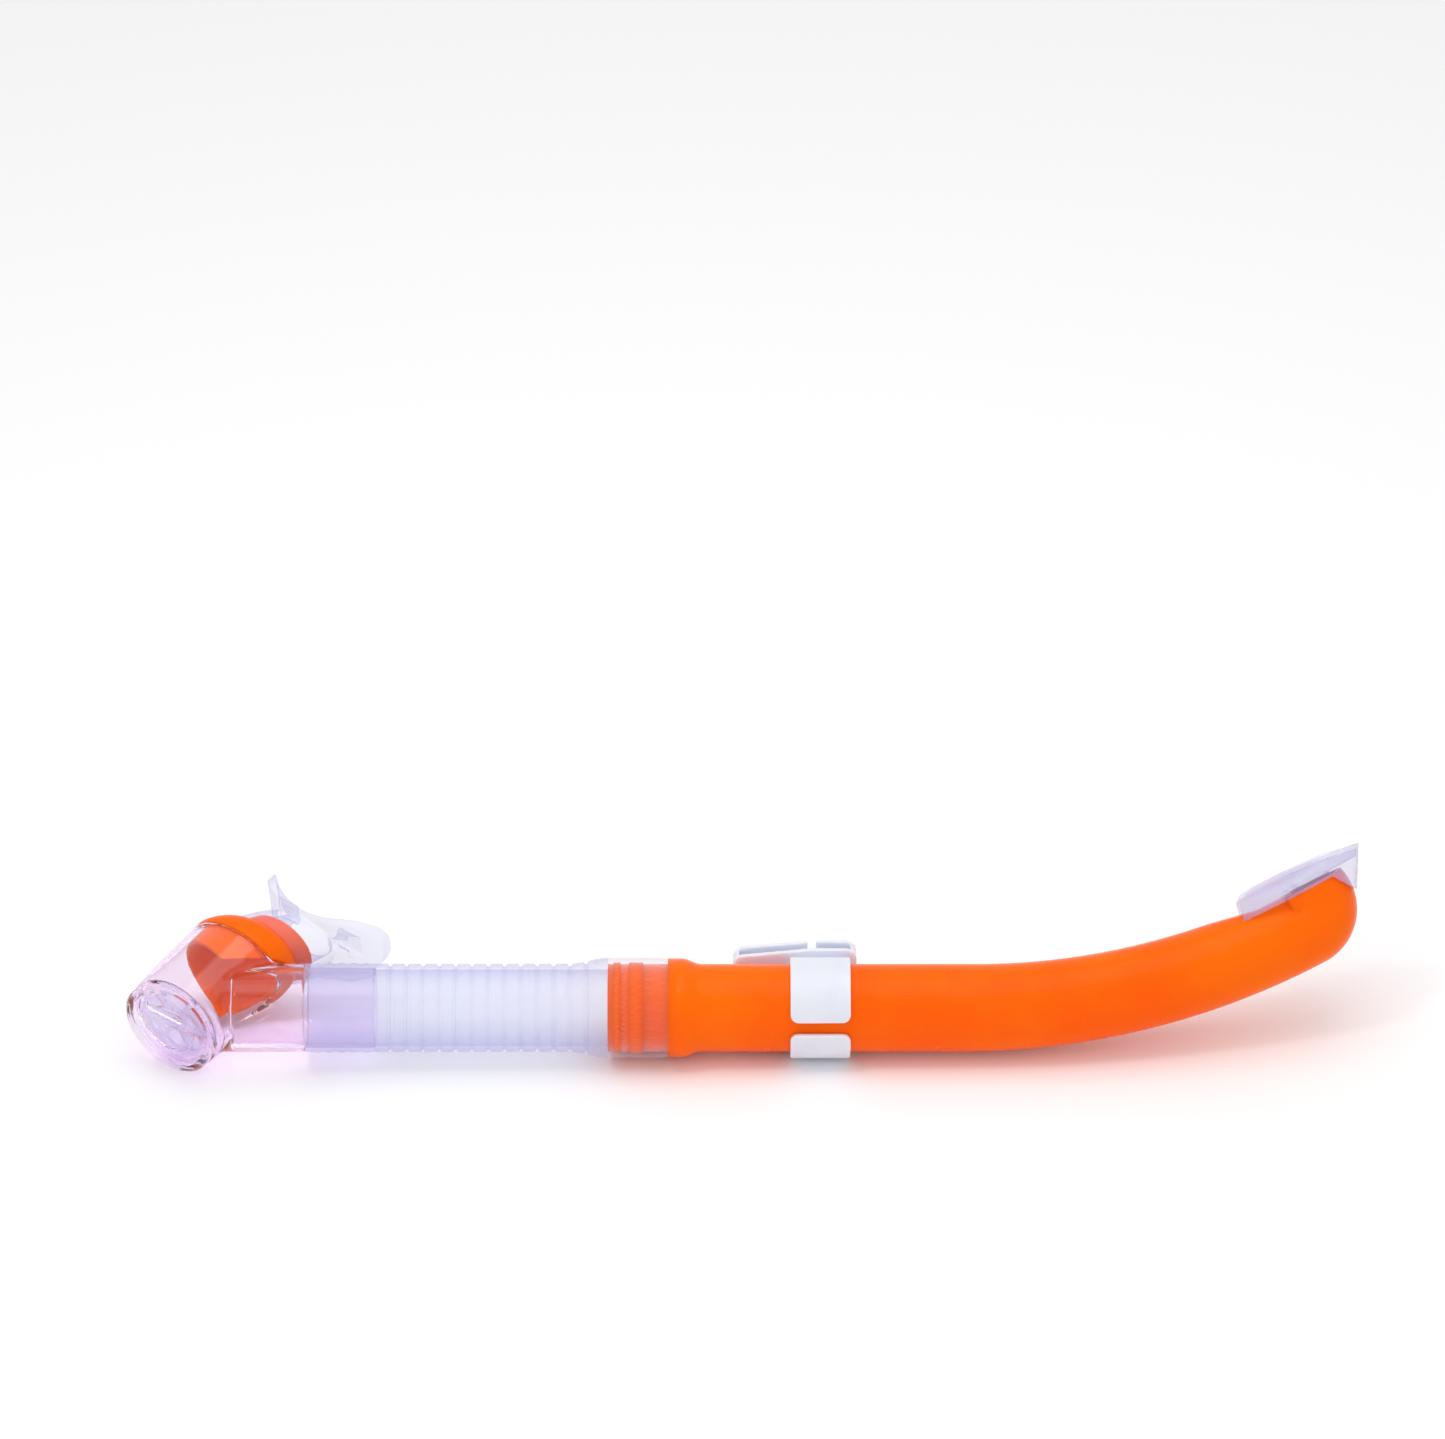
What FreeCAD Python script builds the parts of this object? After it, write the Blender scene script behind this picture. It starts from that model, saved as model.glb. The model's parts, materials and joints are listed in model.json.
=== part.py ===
import FreeCAD, Part
import math
import os
from FreeCAD import Matrix, Vector

# Design axes: X along the hose and the straight part of the barrel, Y towards the side that the
# barrel curves to, Z across. The origin is where the hose axis meets the mouth axis. Millimetres
# and degrees throughout. Stations along the mouth axis count from the origin towards the mouth.

# Hose
hose_start = 39.1
hose_radius = 15.0
hose_bore = 13.0
socket_depth = 24.0          # for the chamber's spigot
plain_below = 2.2            # between that socket and the first groove
groove_count = 13
groove_pitch = 5.55
groove_width = 1.1
groove_depth = 0.9
plain_above = 4.65           # between the last groove and the cuff
cuff_depth = 20.4
cuff_radius = 17.0
cuff_bulge = 0.15
flare_length = 13.0
ridge_count = 5
ridge_pitch = 4.15
ridge_width = 1.2
ridge_height = 0.25

# Barrel
barrel_radius = 14.9
barrel_wall = 2.2
barrel_tip_radius = 13.8     # the tube narrows to this over the bend
shoulder_radius = 16.8
shoulder_length = 4.5
shoulder_fall = 7.0
straight_length = 90.8       # from the shoulder to the bend
bend_radius = 250.0
bend_angle = 27.3
scoop_radius = 6.5           # of the axis, where the end turns up
rim_slope = 27.5             # the scoop's rim rises this much from X
rim_height = 12.2            # of the rim over the axis at the bend's end
ramp_start = 12.0            # the flat before the scoop runs back this far
ramp_slope = 12.0
ring_height = 0.5
ring_places = ((1.9, 2.3), (7.2, 4.7))

# Splash guard, in the rim's frame: along the rim and over it
guard_wall = 1.4
guard_crest = ((-17.2, 5.2), (-15.2, 7.0), (-9.8, 8.0), (1.2, 7.9), (14.5, 6.8), (28.8, 4.7))
guard_tail = 18.6
guard_tail_half = 8.5
guard_belly = 7.0            # the widest place
guard_plan = ((-14.0, 1.2), (0.0, 0.0), (10.0, 3.6))   # past that place, and how much narrower
guard_overhang = 0.3         # of the guard's side past the scoop's side
guard_skirt = 8.6            # the nose reaches this far under the rim
guard_skirt_place = 20.6
guard_side_end = 15.0
guard_side_drop = 0.8        # the side walls end this far under the rim
guard_eave = 2.0             # height of the side wall under the arched roof
lip_depth = 2.4
lip_wall = 1.2
lip_fit = 0.1
snap_place = 2.0
snap_radius = 1.2
snap_proud = 0.7
snap_height = 1.7

# Valve chamber
mouth_angle = 55.5
chamber_roll = 46.7          # of the mouth axis about the hose axis
chamber_half_width = 19.4    # at the rim, towards the hose
chamber_half_height = 16.8   # and across that
chamber_waist = 17.7         # radius at the foot, which is round
chamber_wall = 2.5
chamber_rim = 26.0
chamber_foot = 9.5
foot_blend = 7.5
foot_margin = 0.01           # keeps the loft off the round foot's seam
branch_radius = 15.0
branch_bore = 12.2
spigot_radius = 13.6
branch_fillet = 5.0
branch_inset = 6.0           # the branch starts this far inside the body

# Purge valve
seat_face = 6.5              # inner face of the seat, from the origin
seat_thick = 2.0
seat_ledge = 14.4
ledge_thick = 2.0
seat_hub = 3.6
seat_rim = 2.4
spoke_count = 6
spoke_width = 1.8
seat_radius = 16.0           # of the recess that holds the seat
seat_fit = 0.1
stem_radius = 1.6
stem_fit = 0.1
membrane_radius = 13.2
membrane_thick = 0.8
membrane_edge = 0.4          # its rim narrows by this
membrane_gap = 0.05
membrane_travel = 2.0
bulb_radius = 2.5
bulb_length = 1.8
cover_radius = 17.5
cover_height = 4.6
cover_plate = 1.6
cover_bore = 14.6
cover_edge = 1.2
window_low = 7.6             # the lower window's arc, below the cover's centre
window_line = 4.3            # its straight edge, above the centre
window_half = 12.0
slot_low = 7.0
slot_high = 10.6
slot_half = 7.5
slot_corner = 1.6

# Mouth collar
plug_fit = 0.15
plug_wall = 1.5
lobe_depth = 13.0            # under the chamber's rim
lobe_edge = ((-17.0, 7.0), (8.2, 13.0))   # across the plug, and how deep it reaches there
arch_radius = 16.4
collar_shoulder = 2.0
dome_bulge = 0.9
neck_foot = 36.0             # where the mouthpiece starts
neck_length = 6.0
neck_half_width = 13.4
neck_half_height = 12.0
neck_shift = 3.2             # of the neck's foot towards the hose
neck_lean = 3.9              # further shift over the neck's length
dome_shift = 1.1             # of the dome's middle
collar_wall = 1.5

# Mouthpiece
sleeve_wall = 1.4
flange_place = 47.8
flange_shift = 11.8
flange_turn = 5.0
flange_roll = 5.0
flange_arch = 34.0
flange_half_angle = 50.0
flange_half_height = 13.4
flange_thick = 2.8
flange_notch = 2.0
flange_corner = 11.0
airway_half_width = 11.0
airway_half_height = 7.4
airway_wall = 2.2            # round the airway where it ends in the flange
tab_offset = 14.0
tab_width = 9.0
tab_thick = 4.0
tab_length = 6.4
tab_stop = 2.0               # the thicker end of a bite tab

# Strap keeper
clip_place = 204.0
clip_length = 20.4
clip_fit = 0.15
clip_wall = 2.1
clip_gap = 4.6
clip_corner = 2.7
keeper_roll = 24.0
loop_length = 42.2
loop_lead = 19.4             # of the loop, below the clip's lower edge
loop_half = 14.0
loop_plate = 2.0
loop_corner = 4.0
strap_gap = 4.4
strap_width = 37.8
slit_width = 2.8
slit_place = 26.9
finger_slope = 5.6           # of the long finger's edge
loop_step = 0.9              # of the loop's inner plate past the clip's wall

# How the snorkel lies on a table: roll about X, then pitch about Y
rest_roll = 58.3
rest_pitch = 0.55

origin = Vector(0, 0, 0)
axis_x = Vector(1, 0, 0)
axis_z = Vector(0, 0, 1)


def degrees_sin(angle):
    return math.sin(math.radians(angle))


def degrees_cos(angle):
    return math.cos(math.radians(angle))


def frame(x_dir, y_dir, z_dir, base=origin):
    return Matrix(x_dir.x, y_dir.x, z_dir.x, base.x,
                  x_dir.y, y_dir.y, z_dir.y, base.y,
                  x_dir.z, y_dir.z, z_dir.z, base.z,
                  0, 0, 0, 1)


# Solid of revolution about the local Z axis, from a closed list of (along, radius).
def turned(profile):
    points = [Vector(radius, 0, along) for along, radius in profile]
    face = Part.Face(Part.makePolygon(points + points[:1]))
    return face.revolve(origin, axis_z, 360)


# Prism between two heights of a closed list of (x, y).
def prism(outline, low, high):
    points = [Vector(x, y, low) for x, y in outline]
    face = Part.Face(Part.makePolygon(points + points[:1]))
    return face.extrude(Vector(0, 0, high - low))


def rounded_prism(outline, low, high, radius, corners):
    solid = prism(outline, low, high)
    edges = []
    for edge in solid.Edges:
        start, end = edge.Vertexes[0].Point, edge.Vertexes[-1].Point
        upright = abs(start.z - end.z) > 0.5 * (high - low)
        if upright and any(math.hypot(start.x - x, start.y - y) < 0.01 for x, y in corners):
            edges.append(edge)
    return solid.makeFillet(radius, edges)


def box(low, high):
    size = Vector(*high) - Vector(*low)
    return Part.makeBox(size.x, size.y, size.z, Vector(*low))


# Local Z runs along the hose in this frame, and local X along Y.
along_hose = frame(Vector(0, 1, 0), axis_z, axis_x)

out_of_plane = Vector(0, degrees_sin(chamber_roll), degrees_cos(chamber_roll))
sideways = Vector(0, degrees_cos(chamber_roll), -degrees_sin(chamber_roll))
mouth_axis = axis_x * degrees_cos(mouth_angle) + sideways * degrees_sin(mouth_angle)
towards_hose = axis_x * degrees_sin(mouth_angle) - sideways * degrees_cos(mouth_angle)

# Local Z is the mouth axis here, and local X points across it towards the hose.
along_mouth = frame(towards_hose, out_of_plane * -1, mouth_axis)
hose_in_chamber = Vector(degrees_sin(mouth_angle), 0, degrees_cos(mouth_angle))

bore_half_width = chamber_half_width - chamber_wall
bore_half_height = chamber_half_height - chamber_wall

socket_end = hose_start + socket_depth
first_groove = socket_end + plain_below
last_groove = first_groove + groove_count * groove_pitch
cuff_start = last_groove + plain_above
cuff_end = cuff_start + cuff_depth
shoulder_end = cuff_end + shoulder_length + shoulder_fall
bend_start = shoulder_end + straight_length
barrel_bore = barrel_radius - barrel_wall

tip_bore = barrel_tip_radius - barrel_wall
bend_end = Vector(bend_start + bend_radius * degrees_sin(bend_angle),
                  bend_radius * (1 - degrees_cos(bend_angle)), 0)
bend_end_axis = Vector(degrees_cos(bend_angle), degrees_sin(bend_angle), 0)
bend_normal = Vector(-degrees_sin(bend_angle), degrees_cos(bend_angle), 0)
scoop_centre = bend_end + bend_normal * scoop_radius
rim_along = Vector(degrees_cos(rim_slope), degrees_sin(rim_slope), 0)
rim_normal = Vector(-degrees_sin(rim_slope), degrees_cos(rim_slope), 0)

# Local X runs along the scoop's rim here, and local Z is the rim's normal.
over_rim = frame(rim_along, axis_z * -1, rim_normal, bend_end + rim_normal * rim_height)


# The bend, narrowing as it goes, as a solid.
def bend_core(radius, tip_radius):
    low = Part.Wire(Part.makeCircle(radius, Vector(bend_start, 0, 0), axis_x))
    high = Part.Wire(Part.makeCircle(tip_radius, bend_end, bend_end_axis))
    middle_angle = bend_angle / 2
    middle = Vector(bend_start + bend_radius * degrees_sin(middle_angle),
                    bend_radius * (1 - degrees_cos(middle_angle)), 0)
    path = Part.Wire(Part.Arc(Vector(bend_start, 0, 0), middle, bend_end).toShape())
    shell = Part.BRepOffsetAPI.MakePipeShell(path)
    shell.setFrenetMode(True)
    shell.add(low)
    shell.add(high)
    shell.build()
    shell.makeSolid()
    return Part.Solid(shell.shape().Shells[0])


# The end turns up about a line so close that only the part of the section beyond that line turns.
def scoop_arc(radius):
    half_angle = math.acos(scoop_radius / radius)
    points = []
    for angle in (half_angle, math.pi, 2 * math.pi - half_angle):
        points.append(bend_end + bend_normal * radius * math.cos(angle) + axis_z * radius * math.sin(angle))
    return Part.Arc(*points).toShape().toNurbs().Edges[0], points[0], points[2]


def scoop_face(radius):
    arc, start, end = scoop_arc(radius)
    return Part.Face(Part.Wire([arc, Part.makeLine(end, start)]))


def scoop_core(radius):
    return scoop_face(radius).revolve(scoop_centre, axis_z, 180)


# Closes the back of the scoop beside the tube.
def scoop_back():
    face = scoop_face(barrel_tip_radius).rotated(scoop_centre, axis_z, 180)
    return face.extrude(bend_end_axis * -barrel_wall)


# The flat of the scoop's rim, and the ramp that leads down to it from the tube's back.
def rim_cutter():
    reach = 60.0
    rise = math.tan(math.radians(ramp_slope)) * (reach - ramp_start)
    side = [(-reach, rise), (-ramp_start, 0), (reach, 0), (reach, reach), (-reach, reach)]
    points = [Vector(x, -reach, z) for x, z in side]
    face = Part.Face(Part.makePolygon(points + points[:1]))
    return face.extrude(Vector(0, 2 * reach, 0)).transformed(over_rim)


# The shoulder falls to the tube along a cosine.
def shoulder_profile():
    steps = 8
    points = []
    for step in range(steps + 1):
        share = step / steps
        drop = (shoulder_radius - barrel_radius) * (1 - math.cos(math.pi * share)) / 2
        points.append((cuff_end + shoulder_length + shoulder_fall * share, shoulder_radius - drop))
    return points


def barrel_tube():
    profile = [(cuff_start, barrel_bore), (cuff_start, barrel_radius), (cuff_end, barrel_radius),
               (cuff_end, shoulder_radius)]
    profile += shoulder_profile()
    profile += [(shoulder_end, barrel_bore)]
    foot = turned(profile).transformed(along_hose)
    rings = []
    for place, width in ring_places:
        low = cuff_start + place
        ring = [(low, barrel_bore), (low, barrel_radius + ring_height),
                (low + width, barrel_radius + ring_height), (low + width, barrel_bore)]
        rings.append(turned(ring).transformed(along_hose))
    straight = Part.makeCylinder(barrel_radius, straight_length, Vector(shoulder_end, 0, 0), axis_x)
    straight = straight.cut(Part.makeCylinder(barrel_bore, straight_length, Vector(shoulder_end, 0, 0), axis_x))
    bore = bend_core(barrel_bore, tip_bore)
    bend = bend_core(barrel_radius, barrel_tip_radius).cut(bore)
    outer_arc, outer_start, outer_end = scoop_arc(barrel_tip_radius)
    inner_arc, inner_start, inner_end = scoop_arc(tip_bore)
    wall = Part.Face(Part.Wire([outer_arc, Part.makeLine(outer_end, inner_end), inner_arc,
                                Part.makeLine(inner_start, outer_start)]))
    scoop = wall.revolve(scoop_centre, axis_z, 180)
    top = bend.cut(rim_cutter()).fuse([part.cut(rim_cutter()) for part in (scoop, scoop_back().cut(bore))])
    return foot.fuse(rings + [straight, top]).removeSplitter()


# The guard's outer shape, or its hollow when inset by the wall: the side view, the plan and the
# arched roof, each drawn out and all three combined.
def guard_blank(inset):
    reach = 3 * barrel_radius
    side = [(-guard_tail - inset, -guard_side_drop)]
    side += [(x - inset, z - inset) for x, z in guard_crest]
    side += [(guard_skirt_place - inset, -guard_skirt), (guard_side_end, -guard_side_drop)]
    points = [Vector(x, -reach, z) for x, z in side]
    side_prism = Part.Face(Part.makePolygon(points + points[:1])).extrude(Vector(0, 2 * reach, 0))

    belly = barrel_tip_radius + guard_overhang
    nose = Vector(guard_crest[-1][0] - inset, 0, -reach)
    half = [(-guard_tail - inset, guard_tail_half)]
    half += [(guard_belly + offset, belly - narrowing) for offset, narrowing in guard_plan]
    upper = [Vector(x, y - inset, -reach) for x, y in half] + [nose]
    lower = [Vector(point.x, -point.y, point.z) for point in reversed(upper)]
    near = Part.BSplineCurve()
    near.interpolate(upper)
    far = Part.BSplineCurve()
    far.interpolate(lower)
    tail = Part.makeLine(lower[-1], upper[0])
    plan_prism = Part.Face(Part.Wire([near.toShape(), far.toShape(), tail])).extrude(Vector(0, 0, 2 * reach))

    top = max(z for _, z in guard_crest) - inset
    width = belly + 1 - inset
    arch = []
    for step in range(-6, 7):
        angle = math.radians(15 * step)
        arch.append(Vector(-reach, width * math.sin(angle), guard_eave + (top - guard_eave) * math.cos(angle)))
    roof = Part.BSplineCurve()
    roof.interpolate(arch)
    skirt = Part.makePolygon([arch[-1], Vector(-reach, width, -reach), Vector(-reach, -width, -reach), arch[0]])
    arch_prism = Part.Face(Part.Wire([roof.toShape()] + skirt.Edges)).extrude(Vector(2 * reach, 0, 0))
    return side_prism.common(plan_prism).common(arch_prism)


def splash_guard():
    reach = 3 * barrel_radius
    hollow = guard_blank(guard_wall).common(box((-reach, -reach, lip_wall), (reach, reach, reach)))
    open_tail = guard_blank(guard_wall).common(box((-reach, -reach, -reach), (-lip_depth, reach, reach)))
    shell = guard_blank(0).cut([hollow, open_tail]).transformed(over_rim)
    for core in (bend_core(barrel_radius, barrel_tip_radius), scoop_core(barrel_tip_radius), scoop_back()):
        shell = shell.cut(core.cut(rim_cutter()))

    slab = box((lip_fit, -reach, -lip_depth), (reach, reach, lip_wall)).transformed(over_rim)
    plug = scoop_core(tip_bore - lip_fit).common(slab)
    shell = shell.cut(plug)
    parts = [plug.cut(scoop_core(tip_bore - lip_fit - lip_wall))]
    belly = barrel_tip_radius + guard_overhang - guard_wall
    for side in (-1, 1):
        pin = Part.makeCylinder(snap_radius, guard_wall + snap_proud, Vector(snap_place, side * belly, snap_height),
                                Vector(0, side, 0))
        parts.append(pin.transformed(over_rim))
    return shell.fuse(parts).removeSplitter()


def flex_hose():
    outer = [(hose_start, hose_radius)]
    for ridge in range(ridge_count):
        middle = hose_start + (ridge + 1) * ridge_pitch
        outer += [(middle - ridge_width, hose_radius), (middle - ridge_width / 3, hose_radius + ridge_height),
                  (middle + ridge_width / 3, hose_radius + ridge_height), (middle + ridge_width, hose_radius)]
    flare_start = cuff_start - flare_length

    def land_radius(place):
        share = min(max((place - flare_start) / flare_length, 0), 1)
        return hose_radius + (cuff_radius - hose_radius) * share * share * (3 - 2 * share)

    for groove in range(groove_count):
        middle = first_groove + (groove + 0.5) * groove_pitch
        for offset, depth in ((-groove_width / 2, 0), (0, groove_depth), (groove_width / 2, 0)):
            outer.append((middle + offset, land_radius(middle + offset) - depth))
    outer += [(cuff_start - 2, land_radius(cuff_start - 2)), (cuff_start + 2, cuff_radius),
              (cuff_end - cuff_depth / 3, cuff_radius + cuff_bulge), (cuff_end, shoulder_radius)]
    inner = [(cuff_end, barrel_radius)]
    for place, width in reversed(ring_places):
        low = cuff_start + place
        inner += [(low + width, barrel_radius), (low + width, barrel_radius + ring_height),
                  (low, barrel_radius + ring_height), (low, barrel_radius)]
    inner += [(cuff_start, barrel_radius), (cuff_start, hose_bore), (socket_end, hose_bore),
              (socket_end, spigot_radius), (hose_start, spigot_radius)]
    return turned(outer + inner).transformed(along_hose)


def branch(radius, start, end):
    base = hose_in_chamber * start
    return Part.makeCylinder(radius, end - start, base, hose_in_chamber)


def oval(half_width, half_height, shift, place):
    curve = Part.Ellipse(Vector(shift - half_width, 0, place), Vector(shift, -half_height, place),
                         Vector(shift, 0, place))
    return Part.Wire(curve.toShape())


# The body is round at its foot and oval at its rim. It is drawn past the rim so that its blend
# into the branch is one closed seam, and what stands over the rim beside the branch is cut off.
def valve_chamber():
    spread = chamber_half_width - chamber_waist
    squeeze = chamber_waist - chamber_half_height
    top = 2 * chamber_rim
    stations = ((-chamber_foot, 0), (foot_blend - chamber_foot, 0.5), (chamber_rim / 2, 0.9), (chamber_rim, 1),
                ((chamber_rim + top) / 2, 1), (top, 1))
    sections = [oval(chamber_waist + spread * share + foot_margin, chamber_waist - squeeze * share, 0, place)
                for place, share in stations]
    arm = branch(branch_radius, branch_inset, hose_start)
    outside = Part.makeLoft(sections, True).fuse(arm).removeSplitter()
    seam = [edge for edge in outside.Edges if edge.BoundBox.ZLength > branch_radius and 0 < edge.CenterOfMass.x
            < chamber_half_width]
    outside = outside.makeFillet(branch_fillet, seam)
    above = Part.makeCylinder(2 * top, top, Vector(0, 0, chamber_rim)).cut(arm)
    outside = outside.cut(above)
    outside = outside.fuse(branch(spigot_radius, hose_start - 1, socket_end))
    ledge_top = ledge_thick - seat_face
    bore = Part.Face(oval(bore_half_width, bore_half_height, 0, ledge_top)).extrude(axis_z * 2 * chamber_rim)
    ledge = Part.makeCylinder(seat_ledge, ledge_thick + 1, Vector(0, 0, -seat_face - 1))
    recess = Part.makeCylinder(seat_radius, chamber_foot - seat_face, Vector(0, 0, -chamber_foot))
    inside = bore.fuse([ledge, recess])
    passage = branch(branch_bore, seat_ledge, socket_end)
    return outside.cut([inside, passage]).removeSplitter().transformed(along_mouth)


def purge_seat():
    low = -seat_face - seat_thick
    radius = seat_radius - seat_fit
    plate = Part.makeCylinder(radius, seat_thick, Vector(0, 0, low))
    ring = plate.cut(Part.makeCylinder(seat_ledge - seat_rim, seat_thick, Vector(0, 0, low)))
    hub = Part.makeCylinder(seat_hub, seat_thick, Vector(0, 0, low))
    spokes = []
    for index in range(spoke_count):
        spoke = box((0, -spoke_width / 2, low), (seat_ledge - seat_rim / 2, spoke_width / 2, low + seat_thick))
        spoke.rotate(origin, axis_z, index * 360 / spoke_count)
        spokes.append(spoke)
    seat = ring.fuse([hub] + spokes).removeSplitter()
    seat = seat.cut(Part.makeCylinder(stem_radius + stem_fit, seat_thick, Vector(0, 0, low)))
    return seat.transformed(along_mouth)


def purge_membrane():
    outer_face = -seat_face - seat_thick - membrane_gap
    bulb_low = -seat_face + membrane_travel + stem_fit
    return turned([(outer_face - membrane_thick, 0), (outer_face - membrane_thick, membrane_radius - membrane_edge),
                   (outer_face - membrane_thick / 2, membrane_radius), (outer_face, membrane_radius),
                   (outer_face, stem_radius), (bulb_low, stem_radius), (bulb_low, bulb_radius),
                   (bulb_low + bulb_length, stem_radius), (bulb_low + bulb_length, 0)]).transformed(along_mouth)


def purge_cover():
    top = -chamber_foot - cover_height
    skirt_end = -seat_face - seat_thick
    cap = turned([(top, 0), (top, cover_radius - cover_edge), (top + cover_edge, cover_radius),
                  (-chamber_foot, cover_radius), (-chamber_foot, seat_radius - seat_fit),
                  (skirt_end, seat_radius - seat_fit), (skirt_end, cover_bore),
                  (top + cover_plate, cover_bore), (top + cover_plate, 0)])
    low = Vector(0, window_low, 0)
    left = Vector(-window_half, -window_line, 0)
    right = Vector(window_half, -window_line, 0)
    arc = Part.Arc(left, low, right).toShape()
    window = Part.Face(Part.Wire([arc, Part.makeLine(right, left)])).extrude(Vector(0, 0, cover_plate))
    window.translate(Vector(0, 0, top))
    slot = rounded_prism([(-slot_half, -slot_high), (slot_half, -slot_high), (slot_half, -slot_low),
                          (-slot_half, -slot_low)], top, top + cover_plate, slot_corner,
                         [(-slot_half, -slot_high), (slot_half, -slot_high), (slot_half, -slot_low),
                          (-slot_half, -slot_low)])
    return cap.cut([window, slot]).transformed(along_mouth)


def mouth_collar():
    plug_depth = lobe_depth + 1
    plug_foot = chamber_rim - plug_depth
    plug = Part.Face(oval(bore_half_width - plug_fit, bore_half_height - plug_fit, 0, plug_foot))
    plug = plug.extrude(axis_z * plug_depth)
    reach = 2 * chamber_half_width
    edge = [(-reach, chamber_rim - lobe_edge[0][1])]
    edge += [(place, chamber_rim - depth) for place, depth in lobe_edge]
    edge += [(reach, chamber_rim - lobe_depth), (reach, plug_foot - 1), (-reach, plug_foot - 1)]
    points = [Vector(x, -reach, z) for x, z in edge]
    scallop = Part.Face(Part.makePolygon(points + points[:1])).extrude(Vector(0, 2 * reach, 0))
    shoulder_top = chamber_rim + collar_shoulder
    shoulder = Part.Face(oval(chamber_half_width, chamber_half_height, 0, chamber_rim))
    shoulder = shoulder.extrude(axis_z * collar_shoulder)
    foot_width = neck_half_width + sleeve_wall
    foot_height = neck_half_height + sleeve_wall
    middle = (shoulder_top + neck_foot) / 2
    dome = Part.makeLoft([oval(chamber_half_width, chamber_half_height, 0, shoulder_top),
                          oval((chamber_half_width + foot_width) / 2 + dome_bulge,
                               (chamber_half_height + foot_height) / 2 + dome_bulge, dome_shift, middle),
                          oval(foot_width, foot_height, neck_shift, neck_foot)], True)
    top_shift = neck_shift + neck_lean
    neck_top = neck_foot + neck_length
    neck = Part.makeLoft([oval(neck_half_width, neck_half_height, neck_shift, neck_foot),
                          oval(neck_half_width, neck_half_height, top_shift, neck_top)], True)
    room_width = bore_half_width - plug_fit - plug_wall
    room_height = bore_half_height - plug_fit - plug_wall
    way_width = neck_half_width - collar_wall
    way_height = neck_half_height - collar_wall
    room = Part.Face(oval(room_width, room_height, 0, plug_foot)).extrude(axis_z * (plug_depth + collar_shoulder))
    throat = Part.makeLoft([oval(room_width, room_height, 0, shoulder_top),
                            oval(way_width, way_height, neck_shift, neck_foot)], True)
    exit_way = Part.makeLoft([oval(way_width, way_height, neck_shift, neck_foot),
                              oval(way_width, way_height, top_shift, neck_top)], True)
    solid = plug.cut(scallop).fuse([shoulder, dome, neck])
    saddle = branch(arch_radius, 0, 2 * neck_foot)
    return solid.cut([room, throat, exit_way, saddle]).removeSplitter().transformed(along_mouth)


# Frame of the flange, inside the chamber's frame: X across the mouth, Z into the mouth.
def flange_frame():
    tilt = FreeCAD.Rotation(Vector(0, 1, 0), flange_turn)
    roll = FreeCAD.Rotation(Vector(0, 0, 1), -flange_roll)
    turn = tilt.multiply(roll)
    return FreeCAD.Placement(Vector(flange_shift, 0, flange_place), turn).toMatrix()


def mouthpiece():
    place = flange_frame()
    depth = flange_arch
    half_chord = flange_arch * degrees_sin(flange_half_angle)
    half = flange_half_height
    low = Vector(0, -2 * half, depth)
    ring = Part.makeCylinder(depth, 4 * half, low, Vector(0, 1, 0))
    inside_arch = Part.makeCylinder(depth - flange_thick, 4 * half, low, Vector(0, 1, 0))
    ring = ring.cut(inside_arch)
    outline = [(-half_chord, -half), (0, -half + flange_notch), (half_chord, -half),
               (half_chord, half), (0, half - flange_notch), (-half_chord, half)]
    corners = [point for point in outline if point[0] != 0]
    plate = rounded_prism(outline, -1, depth, flange_corner, corners)
    flange = ring.common(plate)
    tabs = []
    for side in (-1, 1):
        base = side * tab_offset
        sag = flange_arch - math.sqrt(flange_arch ** 2 - tab_offset ** 2)
        tab = box((base - tab_width / 2, -tab_thick / 2, sag + flange_thick / 2),
                  (base + tab_width / 2, tab_thick / 2, sag + tab_length))
        stop = box((base - tab_width / 2, -tab_thick, sag + tab_length - tab_stop),
                   (base + tab_width / 2, tab_thick, sag + tab_length))
        tabs += [tab, stop]
    flange = flange.fuse(tabs).transformed(place)

    grown_width = neck_half_width + sleeve_wall
    grown_height = neck_half_height + sleeve_wall
    mouth_end = Part.Wire(Part.Ellipse(Vector(0, 0, flange_thick), airway_half_width + airway_wall,
                                       airway_half_height + airway_wall).toShape())
    mouth_end = mouth_end.transformed(place)
    neck_top = neck_foot + neck_length
    outer = Part.makeLoft([oval(grown_width, grown_height, neck_shift, neck_foot),
                           oval(grown_width, grown_height, neck_shift + neck_lean, neck_top),
                           mouth_end], True)
    socket = Part.makeLoft([oval(neck_half_width, neck_half_height, neck_shift, neck_foot),
                            oval(neck_half_width, neck_half_height, neck_shift + neck_lean, neck_top)], True)
    exit_wire = Part.Wire(Part.Ellipse(Vector(0, 0, flange_thick + 1), airway_half_width,
                                       airway_half_height).toShape()).transformed(place)
    airway = Part.makeLoft([oval(neck_half_width - collar_wall, neck_half_height - collar_wall,
                                 neck_shift + neck_lean, neck_top), exit_wire], True)
    trimmed = outer.cut(inside_arch.transformed(place))
    return trimmed.fuse(flange).cut([socket, airway]).removeSplitter().transformed(along_mouth)


# Keeper frame: Z along the barrel, Y out through the middle of the clip's opening.
keeper_out = Vector(0, -degrees_sin(keeper_roll), degrees_cos(keeper_roll))
keeper_up = Vector(0, degrees_cos(keeper_roll), degrees_sin(keeper_roll))
along_keeper = frame(keeper_up, keeper_out, axis_x * -1, Vector(clip_place + clip_length, 0, 0))


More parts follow.
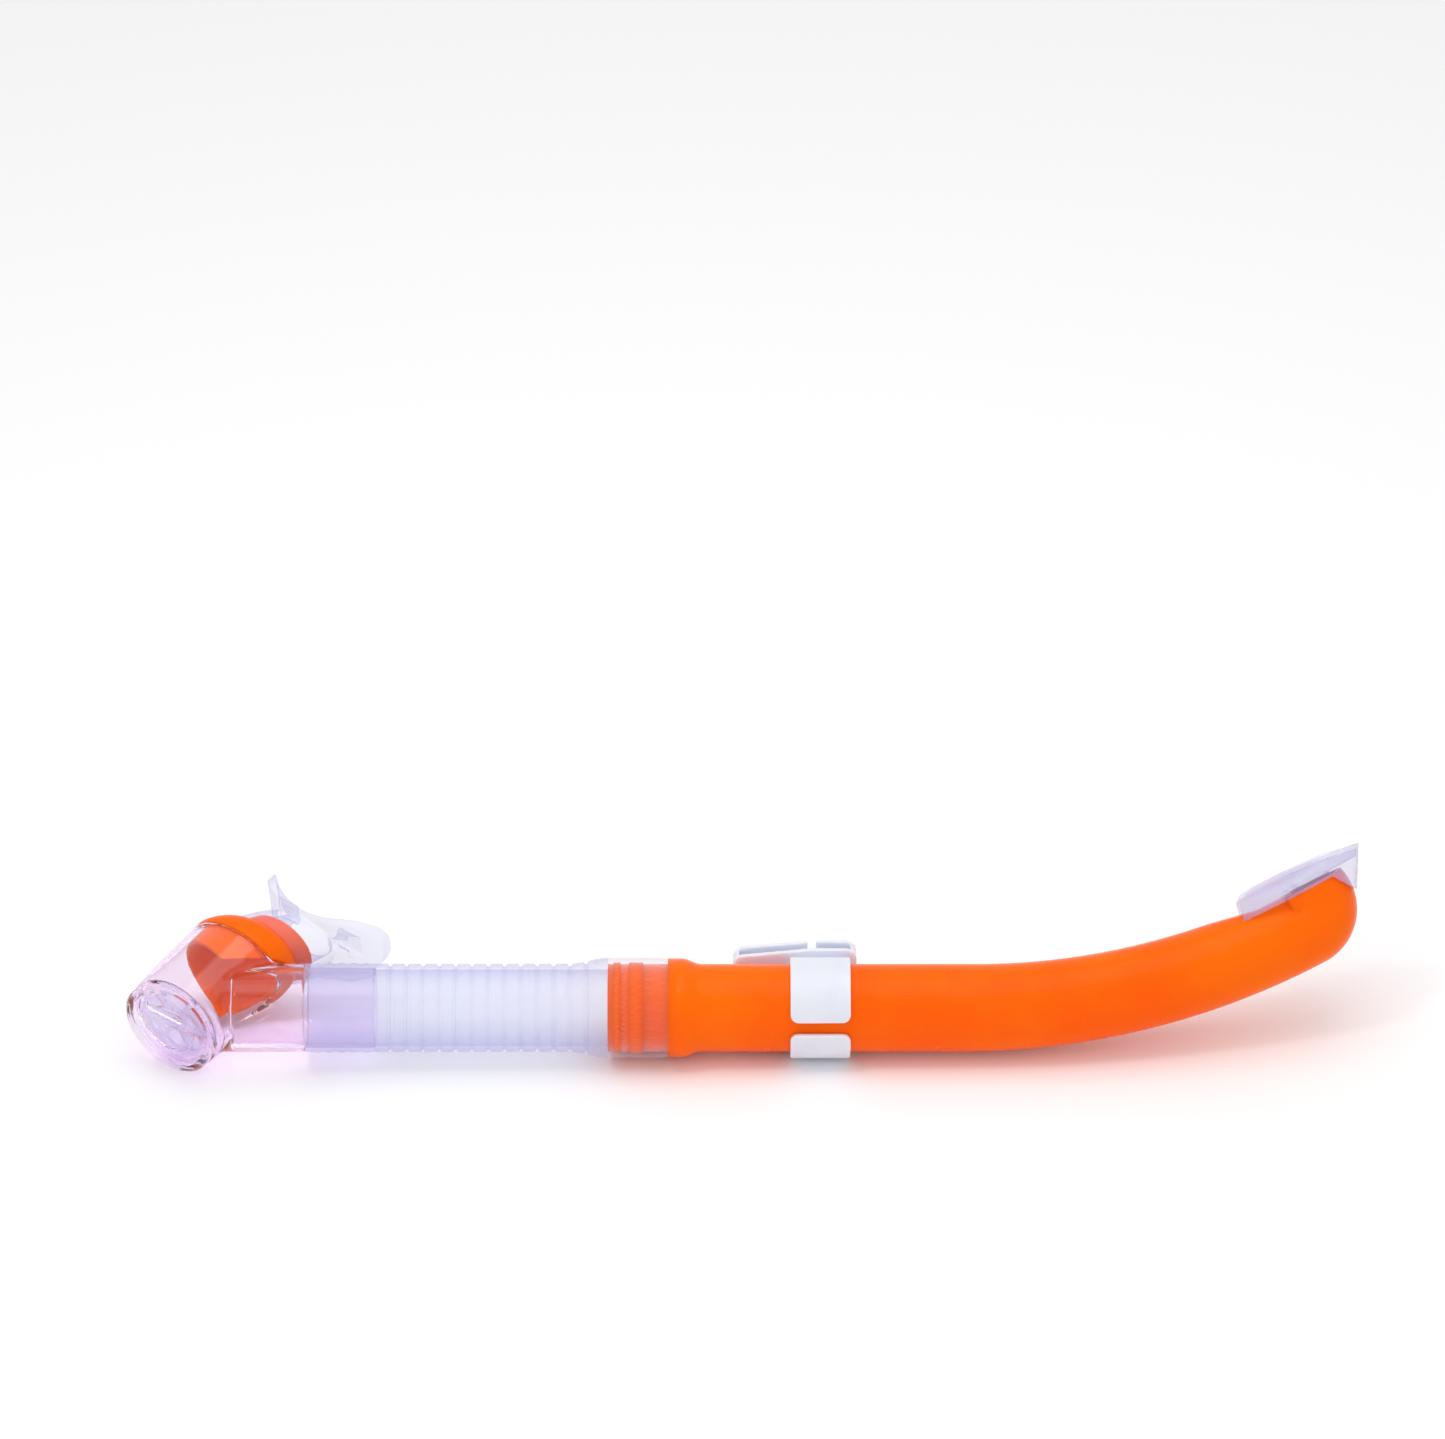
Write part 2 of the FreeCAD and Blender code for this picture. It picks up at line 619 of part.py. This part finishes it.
def clip_ring(inner, outer):
    ring = Part.makeCylinder(outer, clip_length).cut(Part.makeCylinder(inner, clip_length))
    ring = ring.cut(box((-clip_gap / 2, 0, 0), (clip_gap / 2, outer, clip_length)))
    for side in (-1, 1):
        for low, centre in ((0, clip_corner), (clip_length - clip_corner, clip_length - clip_corner)):
            edge = side * clip_gap / 2
            far = side * (clip_gap / 2 + clip_corner)
            corner = box((min(edge, far), 0, low), (max(edge, far), outer, low + clip_corner))
            corner = corner.cut(Part.makeCylinder(clip_corner, outer, Vector(far, 0, centre), Vector(0, 1, 0)))
            ring = ring.cut(corner)
    return ring


# The loop is drawn in a plane along the barrel, with the strap's passage between its two plates.
def strap_keeper():
    inner = barrel_radius + clip_fit
    outer = inner + clip_wall
    loop_low = clip_length + loop_lead - loop_length
    loop_high = clip_length + loop_lead
    slit_middle = loop_high - slit_place
    fall = (loop_high - slit_middle) * math.tan(math.radians(finger_slope))
    near = outer + loop_step - loop_plate
    far = near + strap_gap + 2 * loop_plate
    corners = [(-loop_half, loop_low), (loop_half, loop_low), (loop_half - fall, loop_high), (-loop_half, loop_high)]
    outline = corners[:2] + [(loop_half, slit_middle)] + corners[2:]
    loop = rounded_prism(outline, near, far, loop_corner, corners)
    wall = (loop_length - strap_width) / 2
    passage = box((-loop_half, loop_low + wall, near + loop_plate), (loop_half, loop_high - wall, far - loop_plate))
    slit = box((-loop_half, slit_middle - slit_width / 2, far - loop_plate),
               (loop_half, slit_middle + slit_width / 2, far))
    loop = loop.cut([passage, slit]).transformed(frame(axis_x, axis_z, Vector(0, -1, 0)))
    bore = Part.makeCylinder(inner, loop_length + 2 * loop_lead, Vector(0, 0, -loop_length))
    return clip_ring(inner, outer).fuse(loop.cut(bore)).removeSplitter().transformed(along_keeper)


nodes = {
    "barrel_tube": barrel_tube,
    "splash_guard": splash_guard,
    "flex_hose": flex_hose,
    "valve_chamber": valve_chamber,
    "mouth_collar": mouth_collar,
    "mouthpiece": mouthpiece,
    "purge_seat": purge_seat,
    "purge_membrane": purge_membrane,
    "purge_cover": purge_cover,
    "strap_keeper": strap_keeper,
}

# Turned as it lies on a table, with the middle of the bounding box's underside at the origin.
rest_turn = Matrix()
rest_turn.rotateX(math.radians(rest_roll))
rest_turn.rotateY(math.radians(rest_pitch))
shapes = {name: make().transformed(rest_turn) for name, make in nodes.items()}
bounds = FreeCAD.BoundBox()
for shape in shapes.values():
    bounds.add(shape.optimalBoundingBox())
rest_shift = Vector(-bounds.Center.x, -bounds.Center.y, -bounds.ZMin)

os.makedirs("parts", exist_ok=True)
for name, shape in shapes.items():
    shape.translate(rest_shift)
    print(name, len(shape.Solids), shape.isValid(), round(shape.Volume))
    shape.exportStep("parts/" + name + ".step")
print("size", bounds.XLength, bounds.YLength, bounds.ZLength)
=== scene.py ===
import json
import math

import bmesh
import bpy
from mathutils import Matrix, Vector


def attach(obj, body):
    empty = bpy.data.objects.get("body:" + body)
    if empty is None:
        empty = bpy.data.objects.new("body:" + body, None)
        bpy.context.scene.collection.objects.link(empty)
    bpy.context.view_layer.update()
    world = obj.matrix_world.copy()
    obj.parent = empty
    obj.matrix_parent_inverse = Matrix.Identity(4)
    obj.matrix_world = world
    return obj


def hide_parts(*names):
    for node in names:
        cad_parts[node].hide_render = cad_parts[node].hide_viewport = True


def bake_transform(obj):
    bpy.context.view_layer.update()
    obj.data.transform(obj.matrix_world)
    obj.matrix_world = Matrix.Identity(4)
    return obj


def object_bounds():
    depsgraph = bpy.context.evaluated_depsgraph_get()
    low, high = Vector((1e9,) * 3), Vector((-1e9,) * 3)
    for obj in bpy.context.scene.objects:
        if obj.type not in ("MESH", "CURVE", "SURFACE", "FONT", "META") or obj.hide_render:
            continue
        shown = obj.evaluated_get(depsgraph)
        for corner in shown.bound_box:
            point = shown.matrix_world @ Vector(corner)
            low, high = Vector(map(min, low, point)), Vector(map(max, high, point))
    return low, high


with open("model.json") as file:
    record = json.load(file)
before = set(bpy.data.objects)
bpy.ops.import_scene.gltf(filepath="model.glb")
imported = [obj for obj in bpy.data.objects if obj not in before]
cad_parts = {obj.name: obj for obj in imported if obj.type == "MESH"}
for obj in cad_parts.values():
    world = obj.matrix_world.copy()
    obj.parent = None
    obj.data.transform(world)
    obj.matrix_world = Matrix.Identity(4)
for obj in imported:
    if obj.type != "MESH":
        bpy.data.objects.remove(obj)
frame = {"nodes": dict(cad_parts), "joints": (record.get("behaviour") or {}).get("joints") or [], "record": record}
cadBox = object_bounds()
print("frame loaded")

# The snorkel's own axes: x along the hose, y to the side the barrel curves to, z across.
joints = {joint["name"]: joint for joint in frame["joints"]}
hoseAxis = Vector(joints["chamber_swivel"]["axis"]).normalized()
acrossAxis = -Vector(joints["hose_bend"]["axis"]).normalized()
curveAxis = acrossAxis.cross(hoseAxis)
hose = {
    "start": 0.0391, "end": 0.1625, "radius": 0.0150, "bore": 0.0130,
    "socketEnd": 0.0631, "socketRadius": 0.0136,
    "grooveStart": 0.0653, "groovePitch": 0.00555, "grooveCount": 13, "grooveWidth": 0.0013, "grooveDepth": 0.0009,
    "ridgePitch": 0.00415, "ridgeCount": 5, "ridgeHeight": 0.00025,
    "cuffStart": 0.1421, "cuffRadius": 0.0170, "cuffBore": 0.0149, "cuffEndRadius": 0.0168, "flareLength": 0.013,
    "rows": 700, "sides": 96,
}
# How the hose's steps and edges are rounded
hoseEdges = {"turnBack": 0.002, "step": 0.0002, "softEnd": 0.0005, "softDrop": 0.0002, "cuffFall": 0.004,
             "ridgeInner": 0.0003, "ridgeOuter": 0.0013, "fade": 0.02}
swivelPlace = Vector(joints["chamber_swivel"]["pos_m"])
toRow = Matrix((hoseAxis, curveAxis, acrossAxis)).transposed().to_4x4()
toRow.translation = swivelPlace - hoseAxis * hose["start"]


# Wraps a socket, so that arithmetic on it adds Math nodes to its tree.
class Wire:
    def __init__(self, net, socket):
        self.net = net
        self.socket = socket

    def math(self, operation, *others):
        sockets = dict(enumerate((self,) + others))
        return self.net.add("ShaderNodeMath", {"operation": operation}, sockets)

    def __add__(self, other):
        return self.math("ADD", other)

    __radd__ = __add__

    def __mul__(self, other):
        return self.math("MULTIPLY", other)

    __rmul__ = __mul__

    def __sub__(self, other):
        return self.math("SUBTRACT", other)

    def __rsub__(self, other):
        return self.net.add("ShaderNodeMath", {"operation": "SUBTRACT"}, {0: other, 1: self})

    def __truediv__(self, other):
        return self.math("DIVIDE", other)

    def clamp(self, low, high):
        return self.math("MAXIMUM", low).math("MINIMUM", high)

    # 0 before low, 1 after high, and a smooth step between them
    def step(self, low, high):
        share = ((self - low) / (high - low)).clamp(0.0, 1.0)
        return share * share * (3.0 - 2.0 * share)

    def part(self, name):
        return Wire(self.net, self.socket.node.outputs[name])


# One node tree, shader or geometry.
class Net:
    def __init__(self, tree):
        self.tree = tree

    def add(self, kind, settings=None, sockets=None):
        node = self.tree.nodes.new(kind)
        for name, value in (settings or {}).items():
            setattr(node, name, value)
        for name, value in (sockets or {}).items():
            if isinstance(value, Wire):
                self.tree.links.new(value.socket, node.inputs[name])
            else:
                node.inputs[name].default_value = value
        shown = [socket for socket in node.outputs if socket.enabled]
        return Wire(self, shown[0]) if shown else node


def newMaterial(name, slot, paint, shadow=None):
    material = bpy.data.materials.new(name)
    material.use_nodes = True
    material.node_tree.nodes.clear()
    net = Net(material.node_tree)
    place = net.add("ShaderNodeTexCoord").part("Object")
    surface = net.add("ShaderNodeBsdfPrincipled", {}, paint(net, place))
    if shadow:
        lampRay = net.add("ShaderNodeLightPath").part("Is Shadow Ray")
        passed = net.add("ShaderNodeBsdfTransparent", {}, {"Color": shadow})
        surface = net.add("ShaderNodeMixShader", {}, {0: lampRay, 1: surface, 2: passed})
    net.add("ShaderNodeOutputMaterial", {}, {"Surface": surface})
    material["slotName"] = slot
    return material


def noise(net, place, scale, detail=3.0, rough=0.55):
    return net.add("ShaderNodeTexNoise", {}, {"Vector": place, "Scale": scale, "Detail": detail, "Roughness": rough})


def mixColours(net, share, first, second):
    wire = net.add("ShaderNodeMix", {"data_type": "RGBA"}, {0: share})
    node = wire.socket.node
    for socket, value in ((node.inputs[6], first), (node.inputs[7], second)):
        if isinstance(value, Wire):
            net.tree.links.new(value.socket, socket)
        else:
            socket.default_value = value
    return Wire(net, node.outputs[2])


orange = {"colour": (1.0, 0.150, 0.0, 1), "deep": (1.0, 0.075, 0.0, 1), "roughness": 0.2, "shine": 0.08,
          "glow": 0.1, "glowDepth": 0.003}
# clear's edge colour is a painted magenta reflection: the colour the glass turns to where it is seen edge-on
clear = {"colour": (0.945, 0.89, 0.985, 1), "edge": (0.86, 0.30, 0.74, 1), "shadow": (0.97, 0.93, 0.99, 1),
         "roughness": 0.01, "ior": 1.16, "gloss": 0.55}
# The colour each look turns to where its wall is seen edge-on is a painted pink reflection.
smoky = {"colour": (0.54, 0.54, 0.88, 1), "edgeReflection": (0.64, 0.56, 0.86, 1), "roughness": 0.06, "body": 0.22, "edge": 0.6,
         "fall": 2.5, "shine": 0.5}
silicone = {"colour": (0.52, 0.57, 0.90, 1), "edgeReflection": (0.56, 0.53, 0.86, 1), "roughness": 0.22, "body": 0.13,
            "edge": 0.55, "fall": 2.2, "shine": 0.8}
cuff = {"colour": (0.66, 0.66, 0.90, 1), "edgeReflection": (0.80, 0.72, 0.86, 1), "roughness": 0.16, "body": 0.03,
        "edge": 0.5, "fall": 2.6, "shine": 1.0}
milky = {"colour": (0.70, 0.72, 0.88, 1), "pale": (0.82, 0.84, 0.92, 1), "roughness": 0.34, "glow": 0.6,
         "glowDepth": 0.004}


def paintOrange(net, place):
    cloud = noise(net, place, 22.0).step(0.35, 0.7)
    scuffs = noise(net, place, 260.0, 5.0, 0.7).step(0.55, 0.8)
    grain = noise(net, place, 1900.0, 2.0)
    return {"Base Color": mixColours(net, cloud * 0.5, orange["colour"], orange["deep"]),
            "Roughness": orange["roughness"] + 0.05 * cloud + 0.12 * scuffs,
            "Specular IOR Level": orange["shine"],
            "Subsurface Weight": orange["glow"], "Subsurface Radius": (1.0, 0.2, 0.05),
            "Subsurface Scale": orange["glowDepth"],
            "Normal": net.add("ShaderNodeBump", {}, {"Strength": 0.05, "Distance": 0.0002, "Height": grain + scuffs})}


# Clear walls let light straight through, and show more of themselves where they are seen edge-on. There their colour
# turns pinker, which is a painted reflection.
def paintSeeThrough(net, place, look, swirlScale):
    swirl = noise(net, place, swirlScale, 3.0)
    scuffs = noise(net, place, 340.0, 5.0, 0.7).step(0.56, 0.82)
    facing = net.add("ShaderNodeLayerWeight", {}, {"Blend": 0.5}).part("Facing")
    cloud = noise(net, place, 35.0).step(0.35, 0.7)
    shown = look["body"] + look["edge"] * facing.math("POWER", look["fall"]) + 0.06 * scuffs
    return {"Base Color": mixColours(net, facing.step(0.2, 0.9), look["colour"], look["edgeReflection"]),
            "Roughness": look["roughness"] + 0.10 * scuffs + 0.03 * cloud,
            "Specular IOR Level": look["shine"],
            "Alpha": shown.clamp(0.0, 1.0),
            "Normal": net.add("ShaderNodeBump", {}, {"Strength": 0.15, "Distance": 0.0006,
                                                     "Height": swirl + scuffs * 0.2})}


# Glass with a faint lavender tint. Where it is seen edge-on, its colour turns to a painted magenta reflection.
def paintClear(net, place):
    swirl = noise(net, place, 70.0, 2.0)
    scuffs = noise(net, place, 340.0, 5.0, 0.7).step(0.6, 0.85)
    facing = net.add("ShaderNodeLayerWeight", {}, {"Blend": 0.5}).part("Facing")
    return {"Base Color": mixColours(net, facing.step(0.5, 0.98), clear["colour"], clear["edge"]),
            "Roughness": clear["roughness"] + 0.06 * scuffs, "Transmission Weight": 1.0, "IOR": clear["ior"],
            "Coat Weight": clear["gloss"], "Coat IOR": 1.5, "Coat Roughness": 0.02,
            "Normal": net.add("ShaderNodeBump", {}, {"Strength": 0.1, "Distance": 0.0006, "Height": swirl})}


def paintSmoky(net, place):
    return paintSeeThrough(net, place, smoky, 60.0)


def paintSilicone(net, place):
    return paintSeeThrough(net, place, silicone, 40.0)


def paintCuff(net, place):
    return paintSeeThrough(net, place, cuff, 40.0)


def paintMilky(net, place):
    cloud = noise(net, place, 90.0)
    grain = noise(net, place, 1500.0, 2.0)
    return {"Base Color": mixColours(net, cloud, milky["colour"], milky["pale"]),
            "Roughness": milky["roughness"] + 0.08 * cloud,
            "Subsurface Weight": milky["glow"], "Subsurface Radius": (0.8, 0.8, 1.0),
            "Subsurface Scale": milky["glowDepth"],
            "Normal": net.add("ShaderNodeBump", {}, {"Strength": 0.08, "Distance": 0.0002, "Height": grain})}


orangePlastic = newMaterial("orangePlastic", "orange_plastic", paintOrange)
clearPlastic = newMaterial("clearPlastic", "clear_plastic", paintClear, clear["shadow"])
smokyPlastic = newMaterial("smokyPlastic", "clear_plastic", paintSmoky)
clearSilicone = newMaterial("clearSilicone", "clear_silicone", paintSilicone)
cuffSilicone = newMaterial("cuffSilicone", "clear_silicone", paintCuff)
milkyPlastic = newMaterial("milkyPlastic", "keeper_plastic", paintMilky)
print("materials made")


def addPiece(name, mesh, material):
    piece = bpy.data.objects.new(name, mesh)
    bpy.context.scene.collection.objects.link(piece)
    mesh.materials.clear()
    mesh.materials.append(material)
    return piece


def cleanMesh(mesh, gap, outwards=True):
    work = bmesh.new()
    work.from_mesh(mesh)
    bmesh.ops.remove_doubles(work, verts=work.verts, dist=gap)
    if outwards:
        bmesh.ops.recalc_face_normals(work, faces=work.faces)
    work.to_mesh(mesh)
    work.free()


def finished(piece, name):
    evaluated = piece.evaluated_get(bpy.context.evaluated_depsgraph_get())
    mesh = bpy.data.meshes.new_from_object(evaluated)
    mesh.name = name
    material = piece.data.materials[0]
    bpy.data.objects.remove(piece)
    return addPiece(name, mesh, material)


def setInputs(modifier, values):
    for item in modifier.node_group.interface.items_tree:
        if item.item_type == "SOCKET" and item.in_out == "INPUT" and item.name in values:
            modifier[item.identifier] = values[item.name]


# A tree with named inputs and an output, and the node that brings the inputs in.
def newGeometryTree(name, sizes, counts):
    tree = bpy.data.node_groups.new(name, "GeometryNodeTree")
    for size in sizes:
        tree.interface.new_socket(size, in_out="INPUT", socket_type="NodeSocketFloat")
    for count in counts:
        tree.interface.new_socket(count, in_out="INPUT", socket_type="NodeSocketInt")
    tree.interface.new_socket("Finish", in_out="INPUT", socket_type="NodeSocketMaterial")
    tree.interface.new_socket("Mesh", in_out="OUTPUT", socket_type="NodeSocketGeometry")
    net = Net(tree)
    start = tree.nodes.new("NodeGroupInput")
    inputs = {item.name: Wire(net, start.outputs[item.name]) for item in tree.interface.items_tree
              if item.in_out == "INPUT"}
    return tree, net, inputs


def endTree(net, mesh, finish):
    solid = net.add("GeometryNodeRealizeInstances", {}, {"Geometry": mesh})
    painted = net.add("GeometryNodeSetMaterial", {}, {"Geometry": solid, "Material": finish})
    net.add("NodeGroupOutput", {}, {"Mesh": painted})


# The hose's wall: one sheet of rows that runs up the outside, over the end and back down the
# bore, turned round the axis. Grooves, ridges, flare and cuff all follow from the place along it.
def hoseTree():
    sizes = ["length", "radius", "bore", "socketEnd", "socketRadius", "grooveStart", "groovePitch", "grooveWidth",
             "grooveDepth", "ridgePitch", "ridgeHeight", "cuffStart", "cuffRadius", "cuffBore", "cuffEndRadius",
             "flareLength", "grooveCount", "ridgeCount"]
    tree, net, given = newGeometryTree("corrugatedHose", sizes, ["rows", "sides"])
    grid = net.add("GeometryNodeMeshGrid", {}, {"Size X": 1.0, "Size Y": 1.0, "Vertices X": given["rows"],
                                               "Vertices Y": given["sides"]})
    where = net.add("ShaderNodeSeparateXYZ", {}, {"Vector": net.add("GeometryNodeInputPosition")})
    wall = hoseEdges["turnBack"]
    step = hoseEdges["step"]
    fade = hoseEdges["fade"]
    length = given["length"]
    run = (where.part("X") + 0.5) * (length * 2.0 + 2.0 * wall)
    place = run.math("MINIMUM", length * 2.0 + wall - run).math("MAXIMUM", 0.0).math("MINIMUM", length)
    inside = ((run - length) / wall).clamp(0.0, 1.0) - ((run - length * 2.0 - wall) / wall).clamp(0.0, 1.0)
    flare = place.step(given["cuffStart"] - given["flareLength"], given["cuffStart"])
    outer = given["radius"] + (given["cuffRadius"] - given["radius"]) * flare
    pastCuff = place.step(length - hoseEdges["cuffFall"], length)
    outer = outer - (given["cuffRadius"] - given["cuffEndRadius"]) * pastCuff
    turn = (place - given["grooveStart"]) / given["groovePitch"]
    inGrooves = turn.step(-fade, 0.0) * (1.0 - turn.step(given["grooveCount"], given["grooveCount"] + fade))
    fromMiddle = (turn.math("FRACT") - 0.5).math("ABSOLUTE") * given["groovePitch"]
    groove = (1.0 - fromMiddle.step(given["grooveWidth"] * 0.2, given["grooveWidth"] * 0.75)) * inGrooves
    ridgeTurn = place / given["ridgePitch"] - 0.5
    inRidges = 1.0 - ridgeTurn.step(given["ridgeCount"], given["ridgeCount"] + fade)
    fromRidge = (ridgeTurn.math("FRACT") - 0.5).math("ABSOLUTE") * given["ridgePitch"]
    ridge = 1.0 - fromRidge.step(hoseEdges["ridgeInner"], hoseEdges["ridgeOuter"])
    ridge = ridge * inRidges * ridgeTurn.step(0.0, 0.05)
    outer = outer - groove * given["grooveDepth"] + ridge * given["ridgeHeight"]
    pastSocket = place.step(given["socketEnd"] - step, given["socketEnd"] + step)
    pastBore = place.step(given["cuffStart"] - step, given["cuffStart"] + step)
    inner = given["socketRadius"] + (given["bore"] - given["socketRadius"]) * pastSocket
    inner = inner + (given["cuffBore"] - given["bore"]) * pastBore
    edge = hoseEdges["softEnd"]
    softened = (1.0 - place.step(0.0, edge)) + place.step(length - edge, length)
    radius = outer - softened * hoseEdges["softDrop"] * (1.0 - inside)
    radius = radius + (inner - radius) * inside
    angle = where.part("Y") * (2.0 * math.pi)
    ring = net.add("ShaderNodeCombineXYZ", {}, {"X": place, "Y": radius * angle.math("COSINE"),
                                               "Z": radius * angle.math("SINE")})
    turned = net.add("GeometryNodeSetPosition", {}, {"Geometry": grid, "Position": ring})
    closed = net.add("GeometryNodeMergeByDistance", {}, {"Geometry": turned, "Distance": 0.00001})
    smooth = net.add("GeometryNodeSetShadeSmooth", {}, {"Geometry": closed})
    endTree(net, smooth, given["Finish"])
    return tree


def hosePiece():
    piece = addPiece("flexHose", bpy.data.meshes.new("hoseStart"), clearSilicone)
    shape = piece.modifiers.new("corrugations", "NODES")
    shape.node_group = hoseTree()
    start = hose["start"]
    values = dict(hose)
    for name in ("socketEnd", "grooveStart", "cuffStart"):
        values[name] = hose[name] - start
    values["length"] = hose["end"] - start
    values["grooveCount"] = float(hose["grooveCount"])
    values["ridgeCount"] = float(hose["ridgeCount"])
    values["Finish"] = clearSilicone
    setInputs(shape, values)
    piece = finished(piece, "flexHose")
    cleanMesh(piece.data, 0.00001)
    piece.data.materials.append(cuffSilicone)
    for face in piece.data.polygons:
        face.material_index = int(face.center.x > hose["cuffStart"] - start)
    piece.data.transform(toRow @ Matrix.Translation((start, 0, 0)))
    return piece


# A CAD piece's shape, merged and with its edges softened as they leave a mould.
moulded = {
    "valve_chamber": {"piece": "valveChamber", "cell": 0.00050, "rounds": 6, "finish": clearPlastic},
    "mouth_collar": {"piece": "mouthCollar", "cell": 0.00032, "rounds": 4, "finish": orangePlastic},
    "mouthpiece": {"piece": "softMouthpiece", "cell": 0.00036, "rounds": 8, "finish": clearSilicone},
    "purge_cover": {"piece": "purgeCover", "cell": 0.00032, "rounds": 4, "finish": clearPlastic},
    "purge_seat": {"piece": "purgeSeat", "cell": 0.00032, "rounds": 3, "finish": clearPlastic},
    "purge_membrane": {"piece": "purgeMembrane", "cell": 0.00028, "rounds": 2, "finish": clearSilicone},
    "strap_keeper": {"piece": "strapKeeper", "cell": 0.00036, "rounds": 5, "finish": milkyPlastic},
}


# Remeshing can leave crumbs where a wall runs out, so only the largest shell stays.
def keepLargest(mesh):
    work = bmesh.new()
    work.from_mesh(mesh)
    unseen = set(work.faces)
    shells = []
    while unseen:
        shell = [unseen.pop()]
        for face in shell:
            for edge in face.edges:
                for beside in edge.link_faces:
                    if beside in unseen:
                        unseen.remove(beside)
                        shell.append(beside)
        shells.append(shell)
    shells.sort(key=len)
    for crumb in shells[:-1]:
        bmesh.ops.delete(work, geom=crumb, context="FACES")
    work.to_mesh(mesh)
    work.free()


def mouldedPiece(node):
    sizes = moulded[node]
    mesh = frame["nodes"][node].data.copy()
    cleanMesh(mesh, 0.000002, outwards=False)
    piece = addPiece(sizes["piece"], mesh, sizes["finish"])
    cells = piece.modifiers.new("cells", "REMESH")
    cells.mode = "VOXEL"
    cells.voxel_size = sizes["cell"]
    ease = piece.modifiers.new("ease", "SMOOTH")
    ease.factor = 0.5
    ease.iterations = sizes["rounds"]
    piece = finished(piece, sizes["piece"])
    keepLargest(piece.data)
    piece.data.shade_smooth()
    return piece


def smoothCopy(node, name, material, angle):
    mesh = frame["nodes"][node].data.copy()
    cleanMesh(mesh, 0.000002, outwards=False)
    mesh.shade_smooth()
    mesh.set_sharp_from_angle(angle=math.radians(angle))
    return addPiece(name, mesh, material)


bodyOf = {node: body for body, nodes in frame["record"]["behaviour"]["bodies"].items() for node in nodes}

pieces = {"flex_hose": hosePiece()}
print("hose made")
pieces["barrel_tube"] = smoothCopy("barrel_tube", "barrelTube", orangePlastic, 30)
pieces["splash_guard"] = smoothCopy("splash_guard", "splashGuard", smokyPlastic, 30)
for node in moulded:
    pieces[node] = mouldedPiece(node)
    print(node, "made", len(pieces[node].data.polygons))

for node, piece in pieces.items():
    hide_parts(node)
    if node == "flex_hose":
        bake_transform(piece)
    else:
        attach(piece, bodyOf[node])
print("pieces placed")

# Table, light and camera
studio = {"floor": (0.97, 0.97, 0.975, 1), "sky": 0.80, "viewWidth": 0.4913, "viewCentre": (0.181, 0.098, 0.0),
          "viewDistance": 2.6, "sensor": 36.0}


# Each lamp: its place on the snorkel's own axes, its size and its power
lamps = {"topLight": ((0.25, 0.9, 0.5), 0.9, 2.6),
         "frontLight": ((-0.3, 0.35, 1.1), 0.8, 0.8),
         "sparkLight": ((-0.15, 0.75, 0.75), 0.16, 1.1)}


def floorPiece():
    mesh = bpy.data.meshes.new("floor")
    reach = 6.0
    low = cadBox[0][2]
    corners = [(-reach, -reach, low), (reach, -reach, low), (reach, reach, low), (-reach, reach, low)]
    mesh.from_pydata(corners, [], [(0, 1, 2, 3)])
    material = bpy.data.materials.new("paleFloor")
    material.use_nodes = True
    shader = material.node_tree.nodes["Principled BSDF"]
    shader.inputs["Base Color"].default_value = studio["floor"]
    shader.inputs["Roughness"].default_value = 0.9
    shader.inputs["Specular IOR Level"].default_value = 0.1
    piece = addPiece("floor", mesh, material)


def lamp(name, place, size, power):
    light = bpy.data.lights.new(name, "AREA")
    light.shape = "DISK"
    light.size = size
    light.energy = power
    holder = bpy.data.objects.new(name, light)
    bpy.context.scene.collection.objects.link(holder)
    at = toRow @ Vector(place)
    aim = toRow @ Vector((studio["viewCentre"][0], 0, 0))
    holder.location = at
    holder.rotation_euler = (aim - at).to_track_quat("-Z", "Y").to_euler()


floorPiece()
for name, (place, size, power) in lamps.items():
    lamp(name, place, size, power)
world = bpy.data.worlds.new("studio")
world.use_nodes = True
world.node_tree.nodes["Background"].inputs["Color"].default_value = (1, 1, 1, 1)
world.node_tree.nodes["Background"].inputs["Strength"].default_value = studio["sky"]
bpy.context.scene.world = world
bpy.context.scene.view_settings.view_transform = "Standard"
for bounces in ("max_bounces", "transmission_bounces", "transparent_max_bounces"):
    setattr(bpy.context.scene.cycles, bounces, 32)

lens = bpy.data.cameras.new("view")
lens.sensor_width = studio["sensor"]
lens.lens = studio["sensor"] * studio["viewDistance"] / studio["viewWidth"]
lens.clip_end = 20.0
camera = bpy.data.objects.new("view", lens)
bpy.context.scene.collection.objects.link(camera)
eye = Vector(studio["viewCentre"]) + Vector((0, 0, studio["viewDistance"]))
camera.matrix_world = toRow @ Matrix.Translation(eye)
bpy.context.scene.camera = camera
print("studio made")
